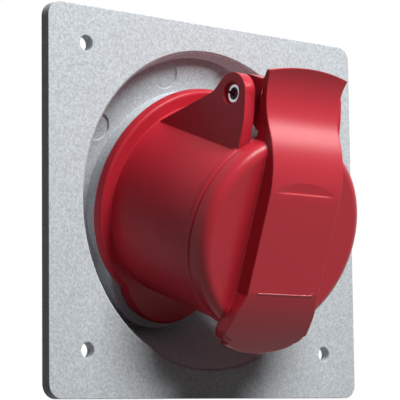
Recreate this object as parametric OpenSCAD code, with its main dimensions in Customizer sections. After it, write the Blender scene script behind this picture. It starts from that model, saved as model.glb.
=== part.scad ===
// Angled panel socket outlet, 16 A, three poles and earth, with a sprung hinged lid.
// Frame: X to the right and +Z up as seen from the front, the front faces -Y.
// The panel's front surface is the plane Y = 0, and the origin is the middle of the fixing holes.

/* [Mounting flange] */
// Width of the mounting flange
flange_w = 116; // [112:0.5:130]
// Height of the mounting flange
flange_h = 108.8; // [106:0.2:124]
// Thickness of the mounting flange
flange_t = 3.2; // [2.6:0.1:5]
// Radius of the flange's corners
flange_corner_r = 4.2; // [1:0.1:8]
// Distance between the fixing holes, side to side
hole_pitch_x = 90; // [84:0.5:96]
// Distance between the fixing holes, top to bottom
hole_pitch_z = 85; // [80:0.5:90]
// How far the flange's middle lies below the middle of the fixing holes
flange_drop = 1.3; // [0:0.1:2.5]
// Diameter of a fixing hole
hole_d = 4.5; // [3.2:0.1:6]

/* [Recess] */
// Diameter of the round recess in the flange
recess_d = 92.2; // [88:0.1:94]
// Bevel round the mouth of the recess
recess_edge = 0.5; // [0.2:0.1:1]
// Wall of the recess
recess_wall = 2.2; // [1.8:0.1:2.8]
// Radius of the curve on which the recess narrows toward its floor
bowl_r = 90; // [86:0.5:96]
// Depth of the recess floor, along the socket's axis
floor_depth = 19.1; // [18:0.1:24]
// Thickness of the recess floor
floor_t = 2.4; // [2:0.1:3]
// Diameter of the sunk moulding discs on the floor
disc_d = 8; // [5:0.1:9]
// Depth of the sunk moulding discs
disc_depth = 0.4; // [0.2:0.05:1]
// Distance of the moulding discs from the socket's axis
disc_r = 36; // [35.5:0.1:37]

/* [Panel gasket] */
// Thickness of the panel gasket, let into the back of the flange
gasket_t = 1.2; // [0.8:0.1:1.6]
// Distance of the gasket from the flange's edge
gasket_inset = 1.5; // [1:0.1:2.4]
// Gap between the recess wall and the gasket
gasket_gap = 0.6; // [0.3:0.1:1]

/* [Socket axis] */
// Angle of the socket below the horizontal
tilt = 20; // [15:1:25]
// Height of the socket's axis above the flange's middle, at the flange's face
axis_rise = 0.65; // [-1:0.05:2]

/* [Socket seat] */
// Radius of the raised seat that carries the housing
seat_r = 30.4; // [29.4:0.1:31.4]
// Height of the raised seat above the recess floor
seat_h = 6.05; // [4:0.05:7]
// Radius of the seat's lower lobe
seat_lobe_r = 21.6; // [20.5:0.1:23]
// Distance of the lower lobe's centre below the axis
lobe_drop = 19.3; // [17:0.1:20]
// Radius of the hole through the seat
seat_hole_r = 24; // [24:0.1:24.6]
// Thickness of the seal between seat and housing
seal_t = 0.8; // [0.4:0.1:1.5]

/* [Housing] */
// Radius of the housing's flange
base_r = 32.7; // [31.8:0.1:34]
// Radius of the flange's lower lobe
base_lobe_r = 19; // [18:0.1:20]
// Thickness of the housing's flange
base_t = 3.05; // [2:0.05:4]
// Rounding of the flange's front edge
base_edge = 1; // [0.3:0.1:1.4]
// Outer radius of the sleeve where it leaves the flange
sleeve_root_r = 28.7; // [28.2:0.1:29.4]
// Outer radius of the sleeve behind its rim
sleeve_front_r = 28.4; // [28:0.1:29]
// Outer radius of the rim at the mouth
rim_r = 28.9; // [28.5:0.1:29.4]
// Width of the rim
rim_w = 1.6; // [1:0.1:3]
// Inner radius of the sleeve
sleeve_in_r = 25.8; // [25.4:0.1:26]
// Distance from the flange's front to the mouth
sleeve_len = 35.9; // [32:0.1:40]
// Thickness of the web that closes the sleeve's back
web_t = 2.5; // [2:0.1:3]
// Outer radius of the spigot behind the flange
spigot_r = 23.7; // [23.5:0.1:23.9]
// Inner radius of the spigot
spigot_in_r = 21.6; // [21.6:0.1:22]
// Length of the spigot behind the flange
spigot_len = 11.8; // [10.5:0.1:13]
// Width of the keyway for the plug's rib
keyway_w = 6.6; // [5:0.1:8]
// Depth of the keyway
keyway_depth = 1.5; // [1:0.1:1.8]

/* [Hinge] */
// Distance of the pin in front of the flange's face, along the axis
pin_z = 18.8; // [18:0.1:20]
// Height of the pin above the axis
pin_y = 36.3; // [36:0.1:38]
// Diameter of the rolled hinge pin
pin_d = 5; // [4:0.1:5.2]
// Wall of the rolled hinge pin
pin_wall = 0.8; // [0.5:0.05:1]
// Width of the slit along the pin
pin_slit = 0.7; // [0.4:0.1:1]
// Outer face of the hinge ears, from the middle
ear_out_x = 18.4; // [18:0.1:19]
// Thickness of a hinge ear
ear_t = 3.6; // [3:0.1:3.8]
// Radius of the ears round the pin
ear_r = 5.8; // [5.4:0.1:6.4]
// Diameter of the sunk ring round each pin end
pin_sink_d = 6.4; // [5.8:0.1:7]
// Depth of the sunk ring
pin_sink = 1; // [0.5:0.1:1.4]
// Running clearance of the pin in the lid, on the radius
pin_play = 0.08; // [0.03:0.01:0.1]

/* [Lid] */
// Outer radius of the lid's disc
lid_r = 29; // [28.8:0.1:29.6]
// Gap between the sleeve's mouth and the lid
lid_gap = 0.6; // [0.4:0.1:0.8]
// Height of the lid's disc
lid_h = 5.7; // [5.2:0.1:7]
// Rounding of the disc's front edge
lid_edge = 3; // [2:0.1:3.4]
// Wall of the lid
lid_wall = 2.4; // [2:0.1:2.8]
// Half width of the band across the lid
band_half_w = 13.3; // [12.6:0.1:13.6]
// Height of the band's flat panel above the disc
band_h = 4.7; // [4:0.1:6]
// Lower end of the band's flat panel
fold_y = -14.9; // [-17:0.1:-13]
// Upper end of the band's flat panel
dent_y = 13.5; // [12:0.1:15]
// Radius of the shallow arched dent above the panel
dent_r = 160; // [120:5:200]
// Depth of the arched dent
dent_depth = 0.4; // [0.2:0.05:0.5]
// Width of the lid's gasket
lid_gasket_w = 2.5; // [2:0.1:2.6]
// Thickness of the lid's gasket
lid_gasket_t = 2.3; // [1.8:0.1:2.6]
// Gap between the lid's gasket and the mouth when shut
lid_gasket_gap = 0.3; // [0.2:0.05:0.4]

/* [Lid spring] */
// Diameter of the spring wire
wire_d = 1.2; // [0.8:0.1:1.3]
// Mean radius of the spring's coil
coil_r = 3.5; // [3.4:0.1:3.8]
// Turns of the spring's coil
coil_turns = 4; // [2:1:4]
// Left end of the coil
coil_x = -9.6; // [-9.7:0.1:-8]

/* [Contact carrier] */
// Radius of the carrier's front boss
carrier_r = 20.8; // [20.5:0.1:21.4]
// Distance of the carrier's face behind the mouth
carrier_sink = 7.2; // [6.5:0.1:9]
// Radius of the circle on which the contacts lie
contact_circle_r = 13; // [12.5:0.1:13.5]
// Radius of the carrier's rear flange
carrier_base_r = 23.4; // [23:0.1:23.8]
// Thickness of the carrier's rear flange
carrier_base_t = 4; // [3.5:0.1:6]
// Distance of the carrier's and its cover's fixing screws from the axis
lug_x = 28; // [27.5:0.1:29]

/* [Contacts] */
// Bore of a line contact
line_bore_d = 5.1; // [5:0.05:5.3]
// Bore of the earth contact
earth_bore_d = 7.1; // [7:0.05:7.3]
// Wall of a contact sleeve
contact_wall = 1.4; // [1:0.1:1.7]
// Width of the shoulder round a contact
shoulder_w = 1.55; // [1.3:0.05:1.7]
// Diameter of a terminal pillar
pillar_d = 9.4; // [9:0.1:9.8]
// Length of a terminal pillar
pillar_len = 16; // [14:0.5:20]
// Bore for the wire in a terminal pillar
wire_bore_d = 4.2; // [3:0.1:4.6]

/* [Hidden] */
$fn = 72;
eps = 0.05;

flange_grey = [0.75, 0.77, 0.79];
housing_red = [0.72, 0.10, 0.14];
rubber_black = [0.10, 0.10, 0.11];
brass = [0.80, 0.66, 0.34];
steel = [0.70, 0.71, 0.73];
insert_black = [0.16, 0.16, 0.17];

// Places along the socket's axis, from the flange's face
floor_z = -floor_depth;
floor_back_z = floor_z - floor_t;
seat_z = floor_z + seat_h;
base_back_z = seat_z + seal_t;
base_front_z = base_back_z + base_t;
mouth_z = base_front_z + sleeve_len;
spigot_end_z = base_back_z - spigot_len;
carrier_face_z = mouth_z - carrier_sink;
carrier_back_z = spigot_end_z - carrier_base_t;
lid_back_z = mouth_z + lid_gap;
lid_front_z = lid_back_z + lid_h;
panel_z = lid_front_z + band_h;
ear_in_x = ear_out_x - ear_t;
recess_r = recess_d / 2;

// Places the children on the socket's axis: +Z runs out of the mouth, +Y is up
module socket_pose() {
    translate([0, -flange_t, axis_rise - flange_drop])
        rotate([90 + tilt, 0, 0])
            children();
}

// A flat shape drawn as [along the axis, up], made solid from x_from to x_to
module across(x_from, x_to) {
    translate([x_to, 0, 0])
        rotate([0, -90, 0])
            linear_extrude(x_to - x_from)
                children();
}

// A disc with a rounded front edge
module round_disc(r, h, edge) {
    rotate_extrude() {
        square([r - edge, h]);
        square([r, h - edge]);
        translate([r - edge, h - edge])
            intersection() {
                circle(edge);
                square(edge);
            }
    }
}

// A straight stack of the disc and its lower lobe
module lobed_pad(r, lobe_r, h, edge) {
    round_disc(r, h, edge);
    translate([0, -lobe_drop, 0])
        round_disc(lobe_r, h, edge);
}

module rounded_plate(w, h, r) {
    for (sx = [-1, 1], sy = [-1, 1])
        translate([sx * (w / 2 - r), sy * (h / 2 - r)])
            circle(r);
    square([w - 2 * r, h], center = true);
    square([w, h - 2 * r], center = true);
}

// Everything in front of a plane across the socket's axis
module ahead_of(z) {
    socket_pose()
        translate([-100, -100, z])
            cube([200, 200, 120]);
}

// The recess is a bowl square to the flange; grow sets its outside, front is where it starts
bowl_lean = 12;
bowl_c = [recess_r - bowl_r * cos(bowl_lean), -flange_t - bowl_r * sin(bowl_lean)];
bowl_back_r = bowl_c[0] + sqrt(pow(bowl_r + recess_wall, 2) - pow(gasket_t + bowl_c[1], 2));

module bowl(grow, front) {
    translate([0, 0, -flange_drop])
        rotate([-90, 0, 0])
            rotate_extrude()
                intersection() {
                    translate(bowl_c)
                        circle(bowl_r + grow);
                    translate([0, front])
                        square([recess_r + 20, 80]);
                }
}

// Self-tapping screws: the shank fills its pilot hole but for a small clearance
screw_shank_d = 2.5;
pilot_d = 2.6;
screw_head_d = 5.6;
screw_head_h = 2.2;
screw_slot_w = 0.8;
screw_hole_d = 3.3;
screw_len = 9.5;

// The housing's screws go through the floor into bosses sunk in the seat
boss_d = 4.8;
boss_len = 4.8;
boss_gap = 0.2;
upper_boss = 19.2;
lower_boss = [9.5, -31.2];
boss_spots = [[-upper_boss, upper_boss], [upper_boss, upper_boss],
    [-lower_boss[0], lower_boss[1]], lower_boss];

// The carrier's screws go through the lugs of its cover into bosses behind the floor
lug_seat_z = carrier_back_z;
carrier_boss_d = 7;
pilot_len = 7.5;

module pan_screw(shank_d, len) {
    translate([0, 0, -0.5])
        cylinder(d = shank_d, h = len + 0.5);
    difference() {
        translate([0, 0, -screw_head_h])
            cylinder(d = screw_head_d, h = screw_head_h);
        translate([-screw_head_d, -screw_slot_w / 2, -screw_head_h - 1])
            cube([2 * screw_head_d, screw_slot_w, 2]);
    }
}

module flange() {
    color(flange_grey)
        difference() {
            union() {
                translate([0, 0, -flange_drop])
                    rotate([90, 0, 0])
                        linear_extrude(flange_t)
                            rounded_plate(flange_w, flange_h, flange_corner_r);
                intersection() {
                    bowl(recess_wall, -1);
                    ahead_of(floor_back_z);
                }
                socket_pose()
                    for (s = [-1, 1])
                        translate([s * lug_x, 0, lug_seat_z])
                            cylinder(d = carrier_boss_d, h = floor_back_z - lug_seat_z + 1);
            }
            difference() {
                intersection() {
                    bowl(0, -flange_t);
                    ahead_of(floor_z);
                }
                socket_pose()
                    translate([0, 0, floor_z - 1])
                        lobed_pad(seat_r, seat_lobe_r, seat_h + 1, 0.8);
            }
            translate([0, -flange_t - eps, -flange_drop])
                rotate([-90, 0, 0])
                    cylinder(r1 = recess_r + recess_edge + eps, r2 = recess_r, h = recess_edge + eps);
            socket_pose() {
                translate([0, 0, -60])
                    cylinder(r = seat_hole_r, h = 60);
                for (spot = boss_spots) {
                    translate([spot[0], spot[1], floor_back_z - 1])
                        cylinder(d = screw_hole_d, h = 20);
                    translate([spot[0], spot[1], base_back_z - boss_len - 2 * boss_gap])
                        cylinder(d = boss_d + 2 * boss_gap, h = 12);
                }
                for (s = [-1, 1])
                    translate([s * lug_x, 0, lug_seat_z - 1])
                        cylinder(d = pilot_d, h = pilot_len + 1);
            }
            intersection() {
                bowl(0, -flange_t);
                socket_pose()
                    for (s = [-1, 1], a = [18, 62])
                        rotate([0, 0, -s * a])
                            translate([0, disc_r, floor_z - disc_depth])
                                cylinder(d = disc_d, h = 2);
            }
            for (sx = [-1, 1], sz = [-1, 1])
                translate([sx * hole_pitch_x / 2, 1, sz * hole_pitch_z / 2])
                    rotate([90, 0, 0])
                        cylinder(d = hole_d, h = flange_t + 2);
            translate([0, 1, 0])
                rotate([90, 0, 0])
                    linear_extrude(gasket_t + 1)
                        gasket_outline(0);
        }
}

module gasket_outline(gap) {
    difference() {
        translate([0, -flange_drop])
            rounded_plate(flange_w - 2 * gasket_inset - 2 * gap,
                flange_h - 2 * gasket_inset - 2 * gap, flange_corner_r - 1);
        translate([0, -flange_drop])
            circle(r = bowl_back_r + gasket_gap + gap);
        for (sx = [-1, 1], sz = [-1, 1])
            translate([sx * hole_pitch_x / 2, sz * hole_pitch_z / 2])
                circle(d = hole_d + 3 + 2 * gap);
    }
}

module panel_gasket() {
    color(rubber_black)
        rotate([90, 0, 0])
            linear_extrude(gasket_t)
                gasket_outline(0.1);
}

module seat_seal() {
    color(rubber_black)
        socket_pose()
            translate([0, 0, seat_z])
                difference() {
                    union() {
                        cylinder(r = seat_r - 0.9, h = seal_t);
                        translate([0, -lobe_drop, 0])
                            cylinder(r = base_lobe_r - 0.9, h = seal_t);
                    }
                    translate([0, 0, -1])
                        cylinder(r = seat_hole_r + 0.2, h = seal_t + 2);
                    for (spot = boss_spots)
                        translate([spot[0], spot[1], -1])
                            cylinder(d = boss_d + 2 * boss_gap, h = seal_t + 2);
                }
}

// Clearance of the pin in the ears, on the radius
pin_fit = 0.01;

// The hinge ear and the gusset that carries it back to the flange
ear_front_r = 38;
ear_front_y = 24.7;
gusset_top = [11.4, 35.2];
gusset_foot_y = 21.4;

module ear_outline() {
    translate([pin_z, pin_y])
        circle(ear_r);
    intersection() {
        translate([mouth_z - 0.1 - ear_front_r, ear_front_y])
            circle(ear_front_r);
        polygon([
            [base_front_z - 1, gusset_foot_y - 6],
            [base_front_z - 1, gusset_foot_y],
            [base_front_z, gusset_foot_y + 0.4],
            gusset_top,
            [pin_z - ear_r * 0.9, pin_y + ear_r * 0.43],
            [pin_z, pin_y],
            [pin_z + ear_r * 0.93, pin_y + ear_r * 0.36],
            [mouth_z + 1, pin_y + ear_r * 0.36],
            [mouth_z + 1, gusset_foot_y - 6]
        ]);
    }
}

module housing() {
    color(housing_red)
        socket_pose()
            difference() {
                union() {
                    translate([0, 0, base_back_z])
                        lobed_pad(base_r, base_lobe_r, base_t, base_edge);
                    translate([0, 0, spigot_end_z])
                        cylinder(r = spigot_r, h = spigot_len + 1);
                    rotate_extrude()
                        polygon([
                            [sleeve_in_r - 2, base_back_z + 0.5],
                            [sleeve_root_r, base_back_z + 0.5],
                            [sleeve_root_r, base_front_z],
                            [sleeve_front_r, mouth_z - rim_w - 0.5],
                            [rim_r, mouth_z - rim_w],
                            [rim_r, mouth_z - 0.4],
                            [rim_r - 0.4, mouth_z],
                            [sleeve_in_r - 2, mouth_z]
                        ]);
                    for (spot = boss_spots)
                        translate([spot[0], spot[1], base_back_z - boss_len])
                            cylinder(d = boss_d, h = boss_len + 1);
                    difference() {
                        for (s = [-1, 1])
                            across(s > 0 ? ear_in_x : -ear_out_x, s > 0 ? ear_out_x : -ear_in_x)
                                ear_outline();
                        translate([0, 0, base_front_z - 5])
                            cylinder(r = sleeve_in_r + 1, h = 60);
                    }
                }
                translate([0, 0, base_back_z + web_t])
                    cylinder(r = sleeve_in_r, h = 60);
                translate([0, 0, spigot_end_z - 1])
                    cylinder(r = spigot_in_r, h = 60);
                translate([-keyway_w / 2, -sleeve_in_r - keyway_depth, base_back_z + web_t])
                    cube([keyway_w, sleeve_in_r, 60]);
                for (spot = boss_spots)
                    translate([spot[0], spot[1], base_back_z - boss_len - 1])
                        cylinder(d = pilot_d, h = boss_len + 2.5);
                translate([-50, pin_y, pin_z])
                    rotate([0, 90, 0])
                        cylinder(d = pin_d + 2 * pin_fit, h = 100);
                for (s = [-1, 1])
                    translate([s > 0 ? ear_out_x - pin_sink : -ear_out_x - 1, pin_y, pin_z])
                        rotate([0, 90, 0])
                            cylinder(d = pin_sink_d, h = pin_sink + 1);
            }
}

module housing_screws() {
    color(steel)
        socket_pose()
            for (spot = boss_spots)
                translate([spot[0], spot[1], floor_back_z])
                    pan_screw(screw_shank_d, screw_len);
}

module hinge_pin() {
    pin_half = ear_out_x - pin_sink;
    color(steel)
        socket_pose()
            translate([-pin_half, pin_y, pin_z])
                rotate([0, 90, 0])
                    difference() {
                        cylinder(d = pin_d, h = 2 * pin_half);
                        translate([0, 0, -1])
                            cylinder(d = pin_d - 2 * pin_wall, h = 2 * pin_half + 2);
                        translate([0, -pin_slit / 2, -1])
                            cube([pin_d, pin_slit, 2 * pin_half + 2]);
                    }
}

// The lid's band in side view: a slope from chin to fold, the flat panel, a crest above it,
// and the hollow of the thumb tab
crest_r = 31;
crest_y = 11.2;
crest_a = 36;
crest_c = [panel_z - crest_r, crest_y];
crest_end = crest_c + crest_r * [cos(crest_a), sin(crest_a)];
tab_z = lid_back_z + 0.6;
tab_back_z = tab_z - 2;
tab_top_y = 47;
hollow_r = (crest_end[0] - tab_z) / (1 - cos(crest_a));
hollow_c = crest_end + hollow_r * [cos(crest_a), sin(crest_a)];
slope_r = 60;
slope_lean = 8;
slope_c = [panel_z - slope_r * cos(slope_lean), fold_y + slope_r * sin(slope_lean)];
chin_r = 34;
chin_back_z = lid_back_z + 2.9;
chin_edge = 2.4;

// The band in front view
tab_half_w = 14.9;
chin_half_w = 15.3;
chin_corner = 3;
crown_r = 59.4;

module band_side() {
    translate([lid_back_z, fold_y + 8])
        square([panel_z - lid_back_z, crest_y - fold_y - 8]);
    intersection() {
        translate(slope_c)
            circle(slope_r);
        polygon([
            [lid_back_z, fold_y + 9],
            [panel_z, fold_y + 9],
            [panel_z, -chin_r - 1],
            [chin_back_z, -chin_r - 1],
            [chin_back_z, fold_y - 3],
            [lid_back_z, fold_y - 3]
        ]);
    }
    intersection() {
        translate(crest_c)
            circle(crest_r);
        translate([lid_back_z, crest_y - 1])
            square([crest_r, crest_end[1] - crest_y + 1]);
    }
    difference() {
        polygon([
            [tab_back_z, lid_r - 0.8],
            [crest_end[0], lid_r - 0.8],
            [crest_end[0], tab_top_y + 1],
            [tab_z + 0.5, tab_top_y + 0.6],
            [tab_back_z, pin_y + arm_r]
        ]);
        translate(hollow_c)
            circle(hollow_r);
    }
}

module band_front() {
    intersection() {
        polygon([
            [tab_half_w, tab_top_y + 1],
            [tab_half_w, 45],
            [band_half_w + 1, 42.4],
            [band_half_w + 0.5, 37],
            [band_half_w, 30],
            [band_half_w, 0],
            [-band_half_w, 0],
            [-band_half_w, 30],
            [-band_half_w - 0.5, 37],
            [-band_half_w - 1, 42.4],
            [-tab_half_w, 45],
            [-tab_half_w, tab_top_y + 1]
        ]);
        translate([0, tab_top_y - crown_r])
            circle(crown_r);
    }
    intersection() {
        union() {
            polygon([
                [-band_half_w, 0],
                [band_half_w, 0],
                [band_half_w, fold_y - 1],
                [chin_half_w - 0.7, fold_y - 6],
                [chin_half_w, -chin_r + 6.6],
                [-chin_half_w, -chin_r + 6.6],
                [0.7 - chin_half_w, fold_y - 6],
                [-band_half_w, fold_y - 1]
            ]);
            for (s = [-1, 1])
                translate([s * (chin_half_w - chin_corner), -chin_r + 6.6])
                    circle(chin_corner);
            translate([chin_corner - chin_half_w, -chin_r - 1])
                square([2 * (chin_half_w - chin_corner), 9]);
        }
        circle(chin_r);
    }
}

// The turned edge that rounds the chin's rim
module chin_limit() {
    rotate_extrude() {
        square([chin_r - chin_edge, 60]);
        square([chin_r, chin_back_z + 1]);
        translate([chin_r - chin_edge, chin_back_z + 1])
            circle(chin_edge);
    }
}

// The hinge arms and the hood between them
arm_r = 5.9;
arm_wall = 2.6;
hood_wall = 1.4;
hood_top_y = pin_y + arm_r;

module arm_side() {
    translate([pin_z, pin_y])
        circle(arm_r);
    polygon([
        [pin_z, pin_y],
        [pin_z, hood_top_y],
        [tab_back_z - 1.6, hood_top_y],
        [tab_back_z - 0.4, hood_top_y + 0.45],
        [tab_back_z + 0.7, hood_top_y + 1.4],
        [tab_z - 0.4, 40],
        [tab_z + 0.6, 30],
        [lid_back_z + 0.1, 27.8],
        [pin_z + arm_r / 2, pin_y - arm_r * 0.87]
    ]);
}

// The lid's gasket sits in a groove behind the disc's edge
lid_gasket_r = 27.5;
groove_gap = 0.1;
lid_gasket_z = mouth_z + lid_gasket_gap;
chamber_r = lid_gasket_r - lid_gasket_w - groove_gap - 1.4;

module ring(outer, inner, h) {
    difference() {
        cylinder(r = outer, h = h);
        translate([0, 0, -1])
            cylinder(r = inner, h = h + 2);
    }
}

module lid_chamber() {
    translate([0, 0, lid_back_z - 1])
        cylinder(r = chamber_r, h = lid_h - lid_wall + 1);
    intersection() {
        translate([0, 0, lid_back_z - 1])
            cylinder(r = chamber_r, h = 20);
        across(-band_half_w + lid_wall, band_half_w - lid_wall) {
            polygon([
                [lid_back_z - 1, crest_y],
                [panel_z - lid_wall, crest_y],
                [panel_z - lid_wall, fold_y + 0.4],
                [panel_z - lid_wall - 2.2, fold_y - 7.1],
                [lid_back_z - 1, fold_y - 7.1]
            ]);
            intersection() {
                translate(crest_c)
                    circle(crest_r - lid_wall);
                translate([lid_back_z - 1, crest_y - 1])
                    square([crest_r, chamber_r - crest_y + 1]);
            }
        }
    }
}

module hood_space() {
    across(-band_half_w + arm_wall, band_half_w - arm_wall)
        difference() {
            polygon([
                [pin_z - 12, 24],
                [lid_back_z - 0.2, 24],
                [lid_back_z - 0.2, hood_top_y - hood_wall],
                [pin_z - 2.2, hood_top_y - hood_wall],
                [pin_z - 2.2, hood_top_y + 1],
                [pin_z - 12, hood_top_y + 1]
            ]);
            translate(hollow_c)
                circle(hollow_r + lid_wall);
        }
}

module lid() {
    dent_z = crest_c[0] + crest_r * cos(asin((dent_y - crest_y) / crest_r)) - dent_depth;
    color(housing_red)
        socket_pose()
            difference() {
                union() {
                    translate([0, 0, lid_back_z])
                        round_disc(lid_r, lid_h, lid_edge);
                    intersection() {
                        across(-20, 20)
                            band_side();
                        translate([0, 0, tab_back_z - 2])
                            linear_extrude(30)
                                band_front();
                        union() {
                            chin_limit();
                            translate([-30, 0, 0])
                                cube([60, 60, 60]);
                        }
                    }
                    across(-band_half_w, band_half_w)
                        arm_side();
                }
                lid_chamber();
                hood_space();
                translate([0, 0, lid_gasket_z - 3])
                    ring(lid_gasket_r + groove_gap, lid_gasket_r - lid_gasket_w - groove_gap,
                        lid_gasket_t + 3);
                translate([0, dent_y, dent_z + dent_r])
                    rotate([-90, 0, 0])
                        cylinder(r = dent_r, h = 7);
                translate([-50, pin_y, pin_z])
                    rotate([0, 90, 0])
                        cylinder(d = pin_d + 2 * pin_play, h = 100);
            }
}

module lid_gasket() {
    color(rubber_black)
        socket_pose()
            translate([0, 0, lid_gasket_z])
                ring(lid_gasket_r, lid_gasket_r - lid_gasket_w, lid_gasket_t);
}

// The spring: a leg on the sleeve, a coil round the pin, and a leg under the hood
function unit(v) = v / norm(v);
wire_sides = 8;
coil_steps = 18 * coil_turns;
coil_pitch = wire_d + 0.1;
coil_from = 290;
coil_to = 270 + 360 * coil_turns;
long_leg = 16.2;
short_leg = 7.6;
spring_path = concat(
    [[coil_x, pin_y + coil_r * sin(coil_from) - long_leg * cos(coil_from),
        pin_z + coil_r * cos(coil_from) + long_leg * sin(coil_from)]],
    [for (i = [0:coil_steps]) let(a = coil_from + (coil_to - coil_from) * i / coil_steps)
        [coil_x + coil_pitch * coil_turns * i / coil_steps, pin_y + coil_r * sin(a),
            pin_z + coil_r * cos(a)]],
    [[coil_x + coil_pitch * coil_turns, pin_y - coil_r, pin_z + short_leg]]
);

module wire(path, r) {
    n = len(path);
    points = [for (i = [0:n - 1])
        let(t = unit(path[min(i + 1, n - 1)] - path[max(i - 1, 0)]),
            u = unit(cross(t, [1, 0, 0])),
            w = cross(u, t))
            for (k = [0:wire_sides - 1])
                path[i] + r * (cos(k * 360 / wire_sides) * u + sin(k * 360 / wire_sides) * w)];
    sides = [for (i = [0:n - 2], k = [0:wire_sides - 1])
        let(j = (k + 1) % wire_sides)
            [i * wire_sides + k, i * wire_sides + j, (i + 1) * wire_sides + j, (i + 1) * wire_sides + k]];
    first = [for (k = [wire_sides - 1:-1:0]) k];
    last = [for (k = [0:wire_sides - 1]) (n - 1) * wire_sides + k];
    polyhedron(points, concat(sides, [first, last]));
}

module lid_spring() {
    color(steel)
        socket_pose()
            wire(spring_path, wire_d / 2);
}

// Where the contacts stand round the carrier's face
l1_a = 180;
l2_a = 90;
l3_a = 0;
earth_a = 270;
contact_angles = [l1_a, l2_a, l3_a, earth_a];
screen_angles = [(l3_a + l2_a) / 2, (l2_a + l1_a) / 2, (l1_a + earth_a) / 2,
    (earth_a + l3_a + 360) / 2];
line_r = line_bore_d / 2 + contact_wall;
earth_r = earth_bore_d / 2 + contact_wall;
contact_back = 1.8;
contact_front_z = carrier_face_z - contact_back;
shoulder_t = 2;
shoulder_gap = 0.2;
ring_wire_d = 1.2;
ring_bite = 0.3;
cell_gap = ring_wire_d - ring_bite + 0.2;
ring_z = contact_front_z - 4;
slot_len = 16;
slot_w = 0.8;
carrier_seal_t = 0.8;

module at_contact(a) {
    rotate([0, 0, a])
        translate([contact_circle_r, 0, 0])
            children();
}

module contact_cell(r, bore_d) {
    translate([0, 0, carrier_back_z - 1])
        cylinder(r = r + cell_gap, h = contact_front_z - carrier_back_z + 1.2);
    translate([0, 0, carrier_back_z - 1])
        cylinder(r = r + shoulder_w + shoulder_gap, h = shoulder_t + 1);
    translate([0, 0, carrier_face_z - 5])
        cylinder(d = bore_d + 0.9, h = 10);
}

module contact_carrier() {
    color(insert_black)
        socket_pose()
            difference() {
                union() {
                    translate([0, 0, carrier_back_z])
                        cylinder(r = carrier_r, h = carrier_face_z - carrier_back_z - 0.5);
                    translate([0, 0, carrier_face_z - 0.5 - eps])
                        cylinder(r1 = carrier_r, r2 = carrier_r - 0.5, h = 0.5 + eps);
                    translate([0, 0, carrier_back_z])
                        cylinder(r = carrier_base_r, h = carrier_base_t - carrier_seal_t);
                }
                for (a = [l1_a, l2_a, l3_a])
                    at_contact(a)
                        contact_cell(line_r, line_bore_d);
                at_contact(earth_a)
                    contact_cell(earth_r, earth_bore_d);
                translate([0, 0, carrier_back_z - 1])
                    cylinder(d = pilot_d, h = 12);
            }
}

module carrier_seal() {
    color(rubber_black)
        socket_pose()
            translate([0, 0, spigot_end_z - carrier_seal_t])
                ring(carrier_base_r - 0.1, carrier_r + 0.4, carrier_seal_t);
}

module carrier_screws() {
    color(steel)
        socket_pose()
            for (s = [-1, 1])
                translate([s * lug_x, 0, carrier_back_z - retainer_t])
                    pan_screw(screw_shank_d, screw_len);
}

// The cover behind the carrier: it traps the contacts' shoulders, clamps the carrier against
// the spigot and screens the terminals
retainer_t = 4;
retainer_screw_len = 13;
pillar_gap = 0.2;
screen_t = 1.6;
screen_len = 11;

module contact_retainer() {
    color(insert_black)
        socket_pose()
            difference() {
                translate([0, 0, carrier_back_z - retainer_t])
                    union() {
                        cylinder(r = carrier_base_r, h = retainer_t);
                        for (s = [-1, 1])
                            translate([s * lug_x, 0, 0])
                                cylinder(d = carrier_boss_d, h = retainer_t);
                        translate([-lug_x, -carrier_boss_d / 2, 0])
                            cube([2 * lug_x, carrier_boss_d, retainer_t]);
                        for (a = screen_angles)
                            rotate([0, 0, a])
                                translate([5, -screen_t / 2, -screen_len])
                                    cube([carrier_base_r - 6, screen_t, screen_len + 1]);
                    }
                for (s = [-1, 1])
                    translate([s * lug_x, 0, carrier_back_z - retainer_t - 1])
                        cylinder(d = screw_hole_d, h = retainer_t + 2);
                for (a = contact_angles)
                    at_contact(a)
                        translate([0, 0, carrier_back_z - retainer_t - 1])
                            cylinder(d = pillar_d + 2 * pillar_gap, h = retainer_t + 2);
                translate([0, 0, carrier_back_z - retainer_t - 1])
                    cylinder(d = screw_hole_d, h = retainer_t + 2);
            }
}

module retainer_screw() {
    color(steel)
        socket_pose()
            translate([0, 0, carrier_back_z - retainer_t])
                pan_screw(screw_shank_d, retainer_screw_len);
}

// Terminal screws, driven from the side across the wire bore
terminal_screw_d = 4;
terminal_screw_len = 4.6;
terminal_inset = 4.5;
terminal_z = carrier_back_z - pillar_len + terminal_inset;
wire_bore_len = 9.5;

module contact(r, bore_d) {
    difference() {
        union() {
            translate([0, 0, carrier_back_z + 1])
                cylinder(r = r, h = contact_front_z - carrier_back_z - 1);
            translate([0, 0, carrier_back_z])
                cylinder(r = r + shoulder_w, h = shoulder_t);
            translate([0, 0, carrier_back_z - pillar_len])
                cylinder(d = pillar_d, h = pillar_len + 1);
        }
        translate([0, 0, carrier_back_z + 6])
            cylinder(d = bore_d, h = 80);
        translate([0, 0, ring_z - ring_wire_d / 2 - 0.05])
            ring(r + 1, r - ring_bite, ring_wire_d + 0.1);
        translate([-r - 1, -slot_w / 2, contact_front_z - slot_len])
            cube([2 * r + 2, slot_w, slot_len + 1]);
        translate([-slot_w / 2, -r - 1, contact_front_z - slot_len])
            cube([slot_w, 2 * r + 2, slot_len + 1]);
        translate([0, 0, carrier_back_z - pillar_len - 1])
            cylinder(d = wire_bore_d, h = wire_bore_len + 1);
        translate([0, 0, terminal_z])
            rotate([0, 90, 0])
                cylinder(d = terminal_screw_d, h = pillar_d);
    }
}

module line_contact(a) {
    color(brass)
        socket_pose()
            at_contact(a)
                contact(line_r, line_bore_d);
}

module contact_l1() {
    line_contact(l1_a);
}

module contact_l2() {
    line_contact(l2_a);
}

module contact_l3() {
    line_contact(l3_a);
}

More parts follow.
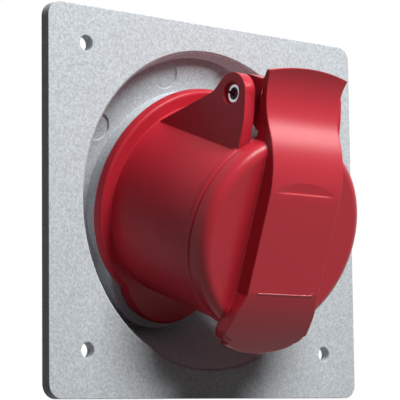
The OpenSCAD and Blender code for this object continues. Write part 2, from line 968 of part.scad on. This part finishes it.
module contact_earth() {
    color(brass)
        socket_pose()
            at_contact(earth_a)
                contact(earth_r, earth_bore_d);
}

module grip_ring(r) {
    translate([0, 0, ring_z])
        rotate_extrude()
            translate([r - ring_bite + ring_wire_d / 2, 0])
                circle(d = ring_wire_d, $fn = 16);
}

module line_grip_rings() {
    color(steel)
        socket_pose()
            for (a = [l1_a, l2_a, l3_a])
                at_contact(a)
                    grip_ring(line_r);
}

module earth_grip_ring() {
    color(steel)
        socket_pose()
            at_contact(earth_a)
                grip_ring(earth_r);
}

module terminal_screws() {
    color(steel)
        socket_pose()
            for (a = contact_angles)
                at_contact(a)
                    translate([wire_bore_d / 2 + 0.3, 0, terminal_z])
                        rotate([0, 90, 0])
                            difference() {
                                cylinder(d = terminal_screw_d - 0.1, h = terminal_screw_len);
                                translate([-terminal_screw_d, -screw_slot_w / 2, terminal_screw_len - 1])
                                    cube([2 * terminal_screw_d, screw_slot_w, 2]);
                            }
}

flange();
panel_gasket();
seat_seal();
housing();
housing_screws();
lid();
lid_gasket();
hinge_pin();
lid_spring();
contact_carrier();
carrier_seal();
carrier_screws();
contact_retainer();
retainer_screw();
contact_l1();
contact_l2();
contact_l3();
contact_earth();
line_grip_rings();
earth_grip_ring();
terminal_screws();
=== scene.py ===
import math
import bpy
from mathutils import Matrix, Vector
from mathutils.bvhtree import BVHTree


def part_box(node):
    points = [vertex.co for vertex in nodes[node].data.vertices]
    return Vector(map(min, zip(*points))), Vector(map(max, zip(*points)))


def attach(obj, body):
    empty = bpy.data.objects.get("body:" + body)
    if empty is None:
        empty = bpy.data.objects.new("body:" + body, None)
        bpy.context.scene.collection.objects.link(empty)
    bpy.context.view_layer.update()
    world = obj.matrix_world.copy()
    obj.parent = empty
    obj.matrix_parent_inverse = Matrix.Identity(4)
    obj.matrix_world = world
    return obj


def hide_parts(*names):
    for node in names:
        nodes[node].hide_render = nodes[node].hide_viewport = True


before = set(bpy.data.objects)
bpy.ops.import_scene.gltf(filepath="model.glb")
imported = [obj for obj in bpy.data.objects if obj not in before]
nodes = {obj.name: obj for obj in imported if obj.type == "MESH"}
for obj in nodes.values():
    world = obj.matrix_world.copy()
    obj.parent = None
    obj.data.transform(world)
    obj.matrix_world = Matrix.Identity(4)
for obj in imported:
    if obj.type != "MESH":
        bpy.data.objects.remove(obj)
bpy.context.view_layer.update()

# ---------------------------------------------------------------- mounting flange
# One moulding of light grey polyamide: the plate, the deep round recess and the raised seat.
# The mould was spark-eroded, which leaves a fine even speckle. Four screws through its
# corners hold it, and the whole socket, on the panel.

FLOAT, COLOUR, VECTOR = "NodeSocketFloat", "NodeSocketColor", "NodeSocketVector"


def add(tree, kind, **values):
    """A new shader node with its settings, or the values of its inputs."""
    node = tree.nodes.new(kind)
    for key, value in values.items():
        if hasattr(node, key):
            setattr(node, key, value)
        else:
            node.inputs[key.replace("_", " ")].default_value = value
    return node


def group(name, inputs, outputs):
    """An empty node group with named sockets, and its two end nodes."""
    tree = bpy.data.node_groups.new(name, "ShaderNodeTree")
    for label, kind, value in inputs:
        socket = tree.interface.new_socket(name=label, in_out="INPUT", socket_type=kind)
        socket.default_value = value
    for label, kind in outputs:
        tree.interface.new_socket(name=label, in_out="OUTPUT", socket_type=kind)
    return tree, tree.nodes.new("NodeGroupInput"), tree.nodes.new("NodeGroupOutput")


def use(tree, shared, **values):
    """A shared group placed in a material with that material's own values."""
    node = tree.nodes.new("ShaderNodeGroup")
    node.node_tree = shared
    for key, value in values.items():
        node.inputs[key.replace("_", " ")].default_value = value
    return node


def material(name):
    made = bpy.data.materials.new(name)
    made.use_nodes = True
    tree = made.node_tree
    return made, tree, tree.nodes["Principled BSDF"]


def wear(node_name, made):
    """Gives a CAD node its finish."""
    for place in nodes[node_name].material_slots:
        place.material = made


# Mould grain and edge mask: a fine bump with rounded edges, the speckle and a slow tone that
# follow it, and a mask of the edges, which the tint uses for a painted highlight.
grain_and_edge_mask, g_in, g_out = group(
    "mould_grain_and_edge_highlight",
    [("Scale", FLOAT, 1500.0), ("Height", FLOAT, 0.00004), ("Edge Radius", FLOAT, 0.0004)],
    [("Normal", VECTOR), ("Speckle", FLOAT), ("Tone", FLOAT), ("Edge", FLOAT)])
coords = add(grain_and_edge_mask, "ShaderNodeTexCoord")
fine = add(grain_and_edge_mask, "ShaderNodeTexNoise", Detail=3.0, Roughness=0.6)
coarse = add(grain_and_edge_mask, "ShaderNodeTexNoise", Scale=45.0, Detail=3.0, Roughness=0.55)
bevel = add(grain_and_edge_mask, "ShaderNodeBevel", samples=6)
bump = add(grain_and_edge_mask, "ShaderNodeBump", Strength=0.6)
geometry = add(grain_and_edge_mask, "ShaderNodeNewGeometry")
dot = add(grain_and_edge_mask, "ShaderNodeVectorMath", operation="DOT_PRODUCT")
# Where the rounded normal turns away from the true one: the edges that get the painted
# highlight.
edge_highlight_mask = add(grain_and_edge_mask, "ShaderNodeMapRange")
edge_highlight_mask.inputs["From Min"].default_value = 0.995
edge_highlight_mask.inputs["From Max"].default_value = 0.80
grain_and_edge_mask.links.new(coords.outputs["Object"], fine.inputs["Vector"])
grain_and_edge_mask.links.new(coords.outputs["Object"], coarse.inputs["Vector"])
grain_and_edge_mask.links.new(g_in.outputs["Scale"], fine.inputs["Scale"])
grain_and_edge_mask.links.new(g_in.outputs["Edge Radius"], bevel.inputs["Radius"])
grain_and_edge_mask.links.new(g_in.outputs["Height"], bump.inputs["Distance"])
grain_and_edge_mask.links.new(fine.outputs["Fac"], bump.inputs["Height"])
grain_and_edge_mask.links.new(bevel.outputs["Normal"], bump.inputs["Normal"])
grain_and_edge_mask.links.new(bevel.outputs["Normal"], dot.inputs[0])
grain_and_edge_mask.links.new(geometry.outputs["Normal"], dot.inputs[1])
grain_and_edge_mask.links.new(dot.outputs["Value"], edge_highlight_mask.inputs["Value"])
grain_and_edge_mask.links.new(bump.outputs["Normal"], g_out.inputs["Normal"])
grain_and_edge_mask.links.new(fine.outputs["Fac"], g_out.inputs["Speckle"])
grain_and_edge_mask.links.new(coarse.outputs["Fac"], g_out.inputs["Tone"])
grain_and_edge_mask.links.new(edge_highlight_mask.outputs["Result"], g_out.inputs["Edge"])

# Mould tint: a base colour, made a little lighter and darker by the speckle and the tone,
# and lighter on the edges, which is a painted highlight along every edge.
tint_and_edge_highlight, t_in, t_out = group(
    "mould_tint_and_edge_highlight",
    [("Colour", COLOUR, (0.5, 0.5, 0.5, 1.0)), ("Speckle", FLOAT, 0.5), ("Tone", FLOAT, 0.5),
     ("Edge", FLOAT, 0.0), ("Speckle Amount", FLOAT, 0.1), ("Tone Amount", FLOAT, 0.1),
     ("Edge Amount", FLOAT, 0.15)],
    [("Colour", COLOUR)])
shade = None
for label in ("Speckle", "Tone", "Edge"):
    middle = add(tint_and_edge_highlight, "ShaderNodeMath", operation="SUBTRACT")
    middle.inputs[1].default_value = 0.0 if label == "Edge" else 0.5
    times = add(tint_and_edge_highlight, "ShaderNodeMath", operation="MULTIPLY")
    total = add(tint_and_edge_highlight, "ShaderNodeMath", operation="ADD")
    total.inputs[1].default_value = 1.0
    tint_and_edge_highlight.links.new(t_in.outputs[label], middle.inputs[0])
    tint_and_edge_highlight.links.new(middle.outputs["Value"], times.inputs[0])
    tint_and_edge_highlight.links.new(t_in.outputs[label + " Amount"], times.inputs[1])
    tint_and_edge_highlight.links.new(times.outputs["Value"], total.inputs[0])
    if shade is not None:
        tint_and_edge_highlight.links.new(shade.outputs["Value"], total.inputs[1])
    shade = total
scaled = add(tint_and_edge_highlight, "ShaderNodeVectorMath", operation="SCALE")
tint_and_edge_highlight.links.new(t_in.outputs["Colour"], scaled.inputs["Vector"])
tint_and_edge_highlight.links.new(shade.outputs["Value"], scaled.inputs["Scale"])
tint_and_edge_highlight.links.new(scaled.outputs["Vector"], t_out.inputs["Colour"])


ROUGH_SWING = 0.06


def moulded(name, colour, rough, scale, height, edge_radius, speckle, tone, painted_edge_highlight,
            gloss=0.5):
    """A moulded plastic or rubber: grain, tint with a painted highlight on its edges, and a
    roughness that follows the tone.
    """
    made, tree, shader = material(name)
    surface = use(tree, grain_and_edge_mask, Scale=scale, Height=height, Edge_Radius=edge_radius)
    colouring = use(tree, tint_and_edge_highlight, Colour=(*colour, 1.0), Speckle_Amount=speckle,
                    Tone_Amount=tone, Edge_Amount=painted_edge_highlight)
    for label in ("Speckle", "Tone", "Edge"):
        tree.links.new(surface.outputs[label], colouring.inputs[label])
    rough_map = add(tree, "ShaderNodeMapRange")
    rough_map.inputs["To Min"].default_value = rough - ROUGH_SWING
    rough_map.inputs["To Max"].default_value = rough + ROUGH_SWING
    tree.links.new(surface.outputs["Tone"], rough_map.inputs["Value"])
    tree.links.new(rough_map.outputs["Result"], shader.inputs["Roughness"])
    tree.links.new(colouring.outputs["Colour"], shader.inputs["Base Color"])
    tree.links.new(surface.outputs["Normal"], shader.inputs["Normal"])
    shader.inputs["Specular IOR Level"].default_value = gloss
    return made


# The edge amount of each moulding paints a highlight along its edges.
flange_grey = moulded("flange_grey", colour=(0.53, 0.565, 0.59), rough=0.62, scale=1700.0,
                      height=0.00007, edge_radius=0.0004, speckle=1.10, tone=0.05,
                      painted_edge_highlight=0.25, gloss=0.06)
wear("flange", flange_grey)

# ---------------------------------------------------------------- panel gasket and seat seal
# Flat rings cut from soft black rubber. The gasket is let into the flange's back and seals it
# to the panel; the seal lies between the seat and the housing's flange.
seal_rubber = moulded("seal_rubber", colour=(0.035, 0.035, 0.038), rough=0.7, scale=2200.0,
                      height=0.00003, edge_radius=0.0003, speckle=0.3, tone=0.2,
                      painted_edge_highlight=0.3)
for name in ("panel_gasket", "seat_seal"):
    wear(name, seal_rubber)

# ---------------------------------------------------------------- housing
# One moulding of signal-red polyamide: flange, sleeve, hinge ears and gussets.
# It stands on the seat, and four screws hold it from behind.
housing_red = moulded("housing_red", colour=(0.52, 0.022, 0.038), rough=0.34, scale=1900.0,
                      height=0.000025, edge_radius=0.0005, speckle=0.10, tone=0.10,
                      painted_edge_highlight=0.30, gloss=0.22)
wear("housing", housing_red)


# ---------------------------------------------------------------- housing screws
# Four zinc-plated self-tapping screws with slotted pan heads, driven from behind
# through the recess floor into the housing's bosses.

DULLED, BRIGHTENED = 0.78, 1.1
SMOOTHER, ROUGHER = 0.08, 0.1


def metal(name, colour, rough, scale, stretch, height, edge_radius):
    """A drawn or turned metal: fine lines of its making and a slow change of tone."""
    made, tree, shader = material(name)
    where = add(tree, "ShaderNodeTexCoord")
    shape = add(tree, "ShaderNodeMapping")
    shape.inputs["Scale"].default_value = stretch
    lines = add(tree, "ShaderNodeTexNoise", Scale=scale, Detail=4.0, Roughness=0.6)
    cloud = add(tree, "ShaderNodeTexNoise", Scale=120.0, Detail=2.0)
    rounding = add(tree, "ShaderNodeBevel", samples=6)
    rounding.inputs["Radius"].default_value = edge_radius
    bumps = add(tree, "ShaderNodeBump", Strength=0.4, Distance=height)
    ramp = add(tree, "ShaderNodeValToRGB")
    dark, light = ramp.color_ramp.elements
    dark.color = (*[c * DULLED for c in colour], 1.0)
    light.color = (*[min(1.0, c * BRIGHTENED) for c in colour], 1.0)
    dark.position, light.position = 0.3, 0.7
    roughs = add(tree, "ShaderNodeMapRange")
    roughs.inputs["To Min"].default_value = rough - SMOOTHER
    roughs.inputs["To Max"].default_value = rough + ROUGHER
    tree.links.new(where.outputs["Object"], shape.inputs["Vector"])
    tree.links.new(shape.outputs["Vector"], lines.inputs["Vector"])
    tree.links.new(where.outputs["Object"], cloud.inputs["Vector"])
    tree.links.new(lines.outputs["Fac"], bumps.inputs["Height"])
    tree.links.new(rounding.outputs["Normal"], bumps.inputs["Normal"])
    tree.links.new(bumps.outputs["Normal"], shader.inputs["Normal"])
    tree.links.new(cloud.outputs["Fac"], ramp.inputs["Fac"])
    tree.links.new(ramp.outputs["Color"], shader.inputs["Base Color"])
    tree.links.new(lines.outputs["Fac"], roughs.inputs["Value"])
    tree.links.new(roughs.outputs["Result"], shader.inputs["Roughness"])
    shader.inputs["Metallic"].default_value = 1.0
    return made


screw_steel = metal("screw_steel", colour=(0.62, 0.62, 0.64), rough=0.34, scale=1400.0,
                    stretch=(1, 1, 1), height=0.00003, edge_radius=0.0002)
wear("housing_screws", screw_steel)

# ---------------------------------------------------------------- hinge pin
# A hollow pin rolled from bright spring steel strip, with a slit along it.
# It is pressed through both ears, and the lid turns on it.
pin_steel = metal("pin_steel", colour=(0.82, 0.81, 0.84), rough=0.22, scale=1200.0,
                  stretch=(5, 1, 1), height=0.00001, edge_radius=0.0002)
wear("hinge_pin", pin_steel)

# ---------------------------------------------------------------- lid spring
# Hardened steel wire wound four turns round the pin, at the tilt of the sleeve. One leg
# reaches down to the sleeve, and the other out under the lid's hood. It stands here in
# the shape it has with the lid shut.
TILT = math.radians(20.0)
UP = Vector((0.0, -math.sin(TILT), math.cos(TILT)))
OUT = Vector((0.0, -math.cos(TILT), -math.sin(TILT)))
WIRE_R = 0.0006
COIL_R = 0.0035
COIL_TURNS = 4
COIL_PITCH = 0.0013
COIL_START = math.radians(290.0)
COIL_END = math.radians(270.0) + 2.0 * math.pi * COIL_TURNS
LONG_LEG, SHORT_LEG = 0.0162, 0.0076
STEPS_A_TURN = 36

pin_low, pin_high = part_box("hinge_pin")
pin_middle = (Vector(pin_low) + Vector(pin_high)) / 2.0
coil_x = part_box("lid_spring")[0][0] + WIRE_R


def round_pin(x, angle):
    """A point of the coil: angle 0 points out of the mouth, 90 degrees up."""
    return (Vector((x, pin_middle.y, pin_middle.z))
            + UP * COIL_R * math.sin(angle) + OUT * COIL_R * math.cos(angle))


steps = STEPS_A_TURN * COIL_TURNS
coil = [round_pin(coil_x + COIL_PITCH * COIL_TURNS * n / steps,
                  COIL_START + (COIL_END - COIL_START) * n / steps) for n in range(steps + 1)]
long_end = coil[0] - UP * LONG_LEG * math.cos(COIL_START) + OUT * LONG_LEG * math.sin(COIL_START)
short_end = coil[-1] + OUT * SHORT_LEG
wire_path = [long_end, *coil, short_end]


def round_wire(name, path, radius, finish):
    """A smooth round wire along a path."""
    data = bpy.data.curves.new(name, "CURVE")
    data.dimensions = "3D"
    data.bevel_depth = radius
    data.bevel_resolution = 5
    data.use_fill_caps = True
    line = data.splines.new("POLY")
    line.points.add(len(path) - 1)
    for point, place in zip(line.points, path):
        point.co = (*place, 1.0)
    line.use_smooth = True
    data.materials.append(finish)
    made = bpy.data.objects.new(name, data)
    bpy.context.scene.collection.objects.link(made)
    return made


spring_steel = metal("spring_steel", colour=(0.66, 0.65, 0.68), rough=0.30, scale=1800.0,
                     stretch=(4, 1, 1), height=0.00001, edge_radius=0.0001)
wear("lid_spring", spring_steel)
spring = round_wire("spring_wire", wire_path, WIRE_R, spring_steel)
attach(spring, "socket")
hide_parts("lid_spring")

# ---------------------------------------------------------------- lid
# A hollow red moulding that turns on the pin, with a raised band, a thumb tab and a chin.
# A low round bead runs along the fold at the foot of the band's flat panel. It catches the
# light as a real shape, and it is coloured a lighter pink than the lid: a painted highlight.
lid_red = moulded("lid_red", colour=(0.52, 0.022, 0.038), rough=0.30, scale=2100.0,
                  height=0.00002, edge_radius=0.0006, speckle=0.08, tone=0.08,
                  painted_edge_highlight=0.20, gloss=0.26)
wear("lid", lid_red)

BEAD_R = 0.00022
BEAD_SUNK = 0.00008
BEAD_HALF = 0.0098
BEAD_HOOK = 0.0011
BEAD_STEPS = 24
HOOK_STEPS = 6
SCAN_FROM = 0.35
SCAN_STEP = 0.0001
SCAN_AHEAD = 0.01
PANEL_FLATNESS = 0.998

lid_low, lid_high = (Vector(corner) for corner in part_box("lid"))
lid_skin = BVHTree.FromObject(nodes["lid"], bpy.context.evaluated_depsgraph_get())


def on_lid(x, z):
    """The lid's front surface at a place seen from the front, and its normal."""
    place, normal, _, _ = lid_skin.ray_cast(Vector((x, lid_low.y - SCAN_AHEAD, z)),
                                            Vector((0.0, 1.0, 0.0)))
    return place, normal


# The fold is where the band's flat panel stops facing straight out of the mouth.
fold_z = lid_low.z + SCAN_FROM * (lid_high.z - lid_low.z)
while on_lid(0.0, fold_z)[1].dot(OUT) > PANEL_FLATNESS:
    fold_z -= SCAN_STEP
bead_path = []
for n in range(BEAD_STEPS + 1):
    bead_path.append((BEAD_HALF * (2.0 * n / BEAD_STEPS - 1.0), fold_z))
for n in range(1, HOOK_STEPS + 1):
    turn = math.radians(90.0 * n / HOOK_STEPS)
    bead_path.append((BEAD_HALF + BEAD_HOOK * math.sin(turn),
                      fold_z + BEAD_HOOK * (1.0 - math.cos(turn))))
bead_line = [on_lid(x, z)[0] - OUT * BEAD_SUNK for x, z in bead_path]
# The bead's lighter pink than the lid is a painted highlight along the fold.
bead_highlight_red = moulded("bead_highlight_red", colour=(0.55, 0.06, 0.08), rough=0.22, scale=2100.0,
                   height=0.00001, edge_radius=0.0001, speckle=0.05, tone=0.05,
                   painted_edge_highlight=0.0)
bead = round_wire("fold_bead", bead_line, BEAD_R, bead_highlight_red)
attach(bead, "lid")

# ---------------------------------------------------------------- lid gasket
# A square ring of the same soft rubber, pressed into the groove behind the disc's edge.
# It shuts on the mouth of the sleeve.
wear("lid_gasket", seal_rubber)

# ---------------------------------------------------------------- contact carrier and cover
# Black glass-filled mouldings. The carrier stands in the housing's spigot on a flat ring of
# rubber and holds the contacts; two screws through the cover clamp both.
carrier_black = moulded("carrier_black", colour=(0.045, 0.045, 0.05), rough=0.5,
                        scale=1500.0, height=0.00004, edge_radius=0.0003, speckle=0.25,
                        tone=0.15, painted_edge_highlight=0.4)
for name in ("contact_carrier", "contact_retainer"):
    wear(name, carrier_black)
wear("carrier_seal", seal_rubber)
for name in ("carrier_screws", "retainer_screw"):
    wear(name, screw_steel)

# ---------------------------------------------------------------- contacts
# Turned brass sleeves, slit into four fingers, with a terminal pillar behind. A ring of
# spring wire grips the fingers, and a grub screw clamps the conductor in the pillar.
contact_brass = metal("contact_brass", colour=(0.78, 0.58, 0.27), rough=0.3, scale=900.0,
                      stretch=(1, 1, 6), height=0.00002, edge_radius=0.0002)
for name in ("contact_l1", "contact_l2", "contact_l3", "contact_earth"):
    wear(name, contact_brass)
for name in ("line_grip_rings", "earth_grip_ring"):
    wear(name, spring_steel)
wear("terminal_screws", screw_steel)

# ---------------------------------------------------------------- floor
# A plain floor well below the part, which hangs by its flange. It looks white, and
# gives little light back to the part.
FLOOR_Z = -0.40
bpy.ops.mesh.primitive_plane_add(size=8.0, location=(0.0, 0.0, FLOOR_Z))
floor = bpy.context.object
floor.name = "floor"
floor_white, floor_tree, floor_shader = material("floor_white")
floor_shader.inputs["Base Color"].default_value = (0.2, 0.2, 0.2, 1.0)
floor_shader.inputs["Roughness"].default_value = 0.8


def seen_directly(tree):
    """1 for what the camera, a reflection or a clear piece sees, 0 for light that falls,
    also where that light comes by way of a mirror."""
    path = add(tree, "ShaderNodeLightPath")
    most = path.outputs["Is Camera Ray"]
    for label in ("Is Glossy Ray", "Is Transmission Ray"):
        join = add(tree, "ShaderNodeMath", operation="MAXIMUM")
        tree.links.new(most, join.inputs[0])
        tree.links.new(path.outputs[label], join.inputs[1])
        most = join.outputs["Value"]
    unscattered = add(tree, "ShaderNodeMath", operation="LESS_THAN")
    unscattered.inputs[1].default_value = 0.5
    tree.links.new(path.outputs["Diffuse Depth"], unscattered.inputs[0])
    both = add(tree, "ShaderNodeMath", operation="MULTIPLY")
    tree.links.new(most, both.inputs[0])
    tree.links.new(unscattered.outputs["Value"], both.inputs[1])
    return both.outputs["Value"]


floor_glow = add(floor_tree, "ShaderNodeEmission", Strength=1.0)
floor_glow.inputs["Color"].default_value = (1.0, 1.0, 1.0, 1.0)
floor_mix = add(floor_tree, "ShaderNodeMixShader")
floor_tree.links.new(seen_directly(floor_tree), floor_mix.inputs["Fac"])
floor_tree.links.new(floor_shader.outputs["BSDF"], floor_mix.inputs[1])
floor_tree.links.new(floor_glow.outputs["Emission"], floor_mix.inputs[2])
floor_tree.links.new(floor_mix.outputs["Shader"],
                     floor_tree.nodes["Material Output"].inputs["Surface"])
floor.data.materials.append(floor_white)

# ---------------------------------------------------------------- light
# A dim room with white walls and one wide soft light above in front. A weaker one from
# the right only gives highlights, and one behind lights the panel's side without any.
world = bpy.data.worlds.new("studio")
bpy.context.scene.world = world
world.use_nodes = True
sky = world.node_tree
sky.nodes.clear()
sky_room = add(sky, "ShaderNodeBackground", Strength=0.03)
sky_room.inputs["Color"].default_value = (0.95, 0.98, 1.0, 1.0)
sky_white = add(sky, "ShaderNodeBackground", Strength=1.0)
sky_white.inputs["Color"].default_value = (1.0, 1.0, 1.0, 1.0)
sky_mix = add(sky, "ShaderNodeMixShader")
sky_out = add(sky, "ShaderNodeOutputWorld")
sky.links.new(seen_directly(sky), sky_mix.inputs["Fac"])
sky.links.new(sky_room.outputs["Background"], sky_mix.inputs[1])
sky.links.new(sky_white.outputs["Background"], sky_mix.inputs[2])
sky.links.new(sky_mix.outputs["Shader"], sky_out.inputs["Surface"])


def soft_light(name, place, aim, width, height, energy):
    data = bpy.data.lights.new(name, "AREA")
    data.shape = "RECTANGLE"
    data.size = width
    data.size_y = height
    data.energy = energy
    lamp = bpy.data.objects.new(name, data)
    bpy.context.scene.collection.objects.link(lamp)
    lamp.location = place
    lamp.rotation_euler = (Vector(aim) - Vector(place)).to_track_quat("-Z", "Y").to_euler()
    return lamp


soft_light("key", place=(0.02, -0.47, 0.48), aim=(0.0, -0.02, 0.0),
           width=0.36, height=0.26, energy=6.6)
glint = soft_light("right", place=(0.49, -0.43, 0.37), aim=(0.0, -0.02, 0.0),
                   width=0.22, height=0.22, energy=1.9)
glint.visible_diffuse = False
behind = soft_light("behind", place=(0.28, 0.60, 0.10), aim=(0.0, 0.02, 0.0),
                    width=0.50, height=0.40, energy=5.0)
behind.visible_glossy = False

# ---------------------------------------------------------------- camera
# In front, low and to the left, looking a little up at the lid, with a long lens.
# It is turned a little about its own axis.
YAW, PITCH, ROLL = math.radians(40.95), math.radians(6.51), math.radians(-0.65)
ahead = Vector((math.sin(YAW) * math.cos(PITCH), math.cos(YAW) * math.cos(PITCH),
                math.sin(PITCH)))
side = Vector((math.cos(YAW), -math.sin(YAW), 0.0))
above = side.cross(ahead)
side, above = (side * math.cos(ROLL) + above * math.sin(ROLL),
               above * math.cos(ROLL) - side * math.sin(ROLL))
camera_data = bpy.data.cameras.new("camera")
camera_data.lens = 170.4
camera_data.sensor_width = 36.0
camera_data.clip_start = 0.01
camera = bpy.data.objects.new("camera", camera_data)
bpy.context.scene.collection.objects.link(camera)
aim_camera = Matrix((side, above, -ahead)).transposed().to_4x4()
STAND = Vector((-0.36008, -0.41359, -0.06064))
camera.matrix_world = Matrix.Translation(STAND) @ aim_camera
bpy.context.scene.camera = camera
bpy.context.scene.view_settings.view_transform = "Standard"
